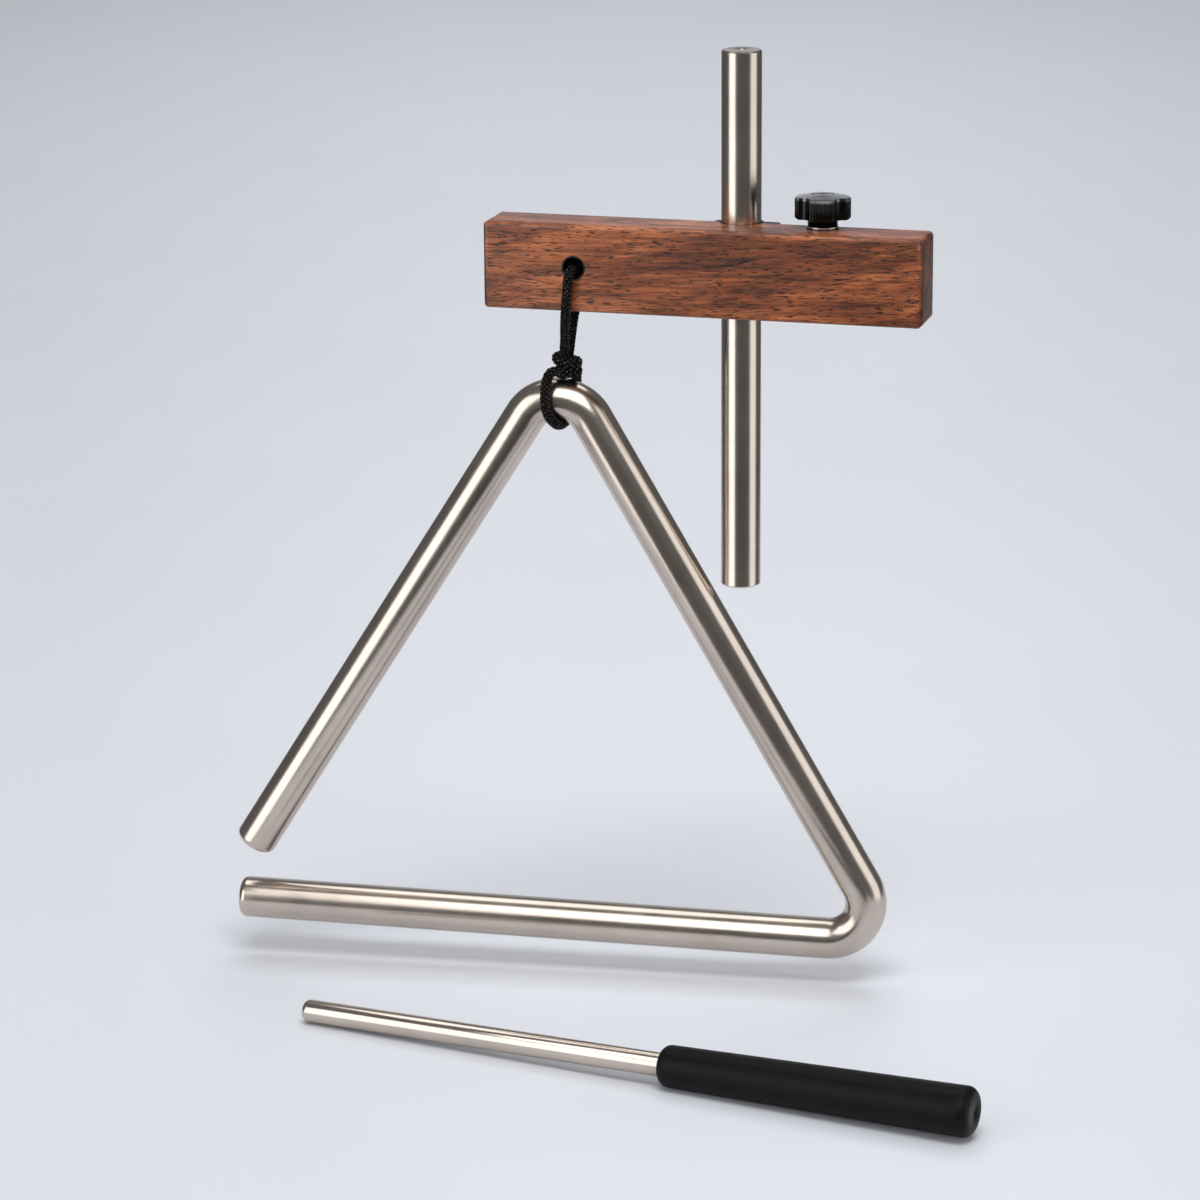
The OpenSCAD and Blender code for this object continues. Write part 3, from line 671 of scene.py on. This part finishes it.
def makeCord(sizes, look, knot):
    finishes["cord_braid"] = cordFinish(look)
    tree = braidTree(sizes)
    strands, loop = (smoothRoute(points, sizes["spanSteps"]) for points in (strandPoints, loopPoints))
    routes = {
        "cord_strands": ("hangingStrands", strands, "strandRadius", False),
        "cord_loop": ("triangleLoop", loop, "loopRadius", False),
        "cord_knot": ("tiedKnot", knotRoute(knot), "knotRadius", True),
    }
    for node, (pieceName, route, radiusName, closed) in routes.items():
        radius = sizes[radiusName] * mm
        values = {"Cord radius": radius, "Yarns": sizes["yarns"], "Yarn radius": radius * sizes["yarnShare"],
                  "Lift": radius * sizes["liftShare"], "Twist length": sizes["twistLength"] * mm,
                  "Step": sizes["step"] * mm, "Finish": finishes["cord_braid"]}
        piece = runTree(guideObject(pieceName + "Guide", route, closed), tree, values, pieceName)
        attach(piece, bodyOf[node])
        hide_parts(node)
        print(pieceName, len(piece.data.polygons), "faces")


makeCord(cordSizes, cordLook, knotSizes)

# Floor
floorSizes = {  # metres
    "level": -0.125, "front": 0.20, "halfWidth": 0.25, "widening": 0.20, "back": 2.3,
    "sweepRadius": 0.9, "sweepSteps": 24, "top": 2.2,
}
floorLook = {
    "colour": (0.63, 0.65, 0.70), "cloudScale": 9, "cloudStops": (0.3, 0.7), "cloudDark": 0.985,
    "viewHalfWidth": 0.175, "viewWidening": 0.134,  # seen by the camera at the post, and per metre behind it
    # painted shade: where the sideways darkening starts and ends, and the share of the colour left at the
    # sides
    "paintedSideShadeSpan": (0.35, 1.1), "paintedSideShade": 0.92, "roughness": 0.6, "specular": 0.25,
}


def floorFinish(look):
    finish, tree, shader = newFinish("paleFloor")
    cloud = noiseOf(tree, objectCoords(tree, (look["cloudScale"],) * 3), detail=2.0, rough=0.5)
    darker = tuple(c * look["cloudDark"] for c in look["colour"])
    paper = rampOf(tree, cloud, list(zip(look["cloudStops"], (darker, look["colour"]))))
    # painted shade: the paper's colour is darkened towards both sides, where the light falls off
    axes = axesOf(tree, objectCoords(tree, (1, 1, 1), (0, 0, math.atan2(levelAhead.x, levelAhead.y))))
    widthThere = mathOf(tree, "ADD", mathOf(tree, "MULTIPLY", axes["Y"], look["viewWidening"]),
                        look["viewHalfWidth"])
    aside = mathOf(tree, "DIVIDE", mathOf(tree, "ABSOLUTE", axes["X"]), widthThere)
    paintedSideShadeFactor = rangeOf(tree, aside, look["paintedSideShadeSpan"], (1.0, look["paintedSideShade"]))
    feedAll(tree, shader, {
        "Base Color": mixColours(tree, 1.0, paper, paintedSideShadeFactor, "MULTIPLY"),
        "Roughness": look["roughness"], "Specular IOR Level": look["specular"]})
    return finish


def makeFloor(sizes, look):
    right = levelAhead.cross(Vector((0, 0, 1)))
    quarter = [math.pi / 2 * i / sizes["sweepSteps"] for i in range(sizes["sweepSteps"] + 1)]
    line = [(-sizes["front"], 0.0)]
    line += [(sizes["back"] + sizes["sweepRadius"] * math.sin(a), sizes["sweepRadius"] * (1 - math.cos(a)))
             for a in quarter]
    line.append((sizes["back"] + sizes["sweepRadius"], sizes["top"]))
    verts = []
    for along, up in line:
        wide = sizes["halfWidth"] + sizes["widening"] * max(0.0, along)
        for side in (-1, 1):
            place = levelAhead * along + right * wide * side
            verts.append((place.x, place.y, sizes["level"] + up))
    faces = [(2 * i, 2 * i + 1, 2 * i + 3, 2 * i + 2) for i in range(len(line) - 1)]
    mesh = bpy.data.meshes.new("floorSweep")
    mesh.from_pydata(verts, [], faces)
    mesh.shade_smooth()
    mesh.materials.append(floorFinish(look))
    addObject("floorSweep", mesh)


makeFloor(floorSizes, floorLook)

# Light
# Each box stands at a turn from the camera's side (left is minus) and a rise, in degrees, and at a
# distance in metres. A matt one isn't seen in reflections, a gloss one is seen in them alone.
lightBoxes = {
    "leftBox": {"turn": -57, "rise": 6, "distance": 1.5, "size": (1.03, 2.0), "radiance": 2.1},
    "rightBox": {"turn": 71, "rise": 6, "distance": 1.5, "size": (1.12, 2.0), "radiance": 1.3},
    "frontBox": {"turn": 0, "rise": 47, "distance": 1.9, "size": (1.6, 1.6), "radiance": 2.7,
                 "only": "gloss"},
    "fillBox": {"turn": 0, "rise": 15, "distance": 1.9, "size": (1.2, 1.0), "radiance": 1.7,
                "only": "matt"},
    "keyBox": {"turn": 0, "rise": 66, "distance": 1.7, "size": (1.1, 0.7), "radiance": 8.0,
               "only": "matt"},
    "topBox": {"turn": 0, "rise": 110, "distance": 1.5, "size": (1.5, 0.84), "radiance": 1.9},
    "backBox": {"turn": 180, "rise": 48, "distance": 2.4, "size": (1.4, 0.8), "radiance": 6.8,
                "only": "matt", "aim": (2.3, -0.12)},
}
skyLook = {
    "heightSpan": (-0.5, 0.7),  # from 30 degrees below the horizon to 45 above
    "steps": ((0.0, 0.03), (0.21, 0.12), (0.42, 0.12), (1.0, 0.17)),
    "seen": (0.54, 0.58, 0.64),
}


def makeLights(boxes):
    for name, box in boxes.items():
        data = bpy.data.lights.new(name, "AREA")
        data.shape = "RECTANGLE"
        data.size, data.size_y = box["size"]
        data.energy = box["radiance"] * math.pi * box["size"][0] * box["size"][1]
        thing = addObject(name, data)
        direction = Matrix.Rotation(math.radians(box["turn"]), 3, "Z") @ -levelAhead
        rise = math.radians(box["rise"])
        place = (direction * math.cos(rise) + Vector((0, 0, math.sin(rise)))) * box["distance"]
        backwards = place  # away from what the box lights
        if "aim" in box:  # a point so far behind the post's foot and so high, instead of the foot
            along, up = box["aim"]
            backwards = place - Vector((levelAhead.x * along, levelAhead.y * along, up))
        thing.location = place
        thing.rotation_euler = backwards.to_track_quat("Z", "Y").to_euler()
        thing.visible_camera = False
        thing.visible_glossy = box.get("only") != "matt"
        thing.visible_diffuse = box.get("only") != "gloss"


def makeSky(look):
    world = bpy.data.worlds.new("studio")
    world.use_nodes = True
    tree = world.node_tree
    tree.nodes.clear()
    height = axesOf(tree, addNode(tree, "ShaderNodeTexCoord").outputs["Generated"])["Z"]
    glow = rampOf(tree, rangeOf(tree, height, look["heightSpan"]),
                  [(place, (grey,) * 3) for place, grey in look["steps"]])
    hidden = addNode(tree, "ShaderNodeBackground", {"Color": glow})
    seen = addNode(tree, "ShaderNodeBackground", {"Color": look["seen"]})
    path = addNode(tree, "ShaderNodeLightPath")
    mix = addNode(tree, "ShaderNodeMixShader", {
        "Fac": path.outputs["Is Camera Ray"],
        1: hidden.outputs["Background"], 2: seen.outputs["Background"]})
    addNode(tree, "ShaderNodeOutputWorld", {"Surface": mix.outputs["Shader"]})
    scene.world = world


makeLights(lightBoxes)
makeSky(skyLook)
print("lights set")
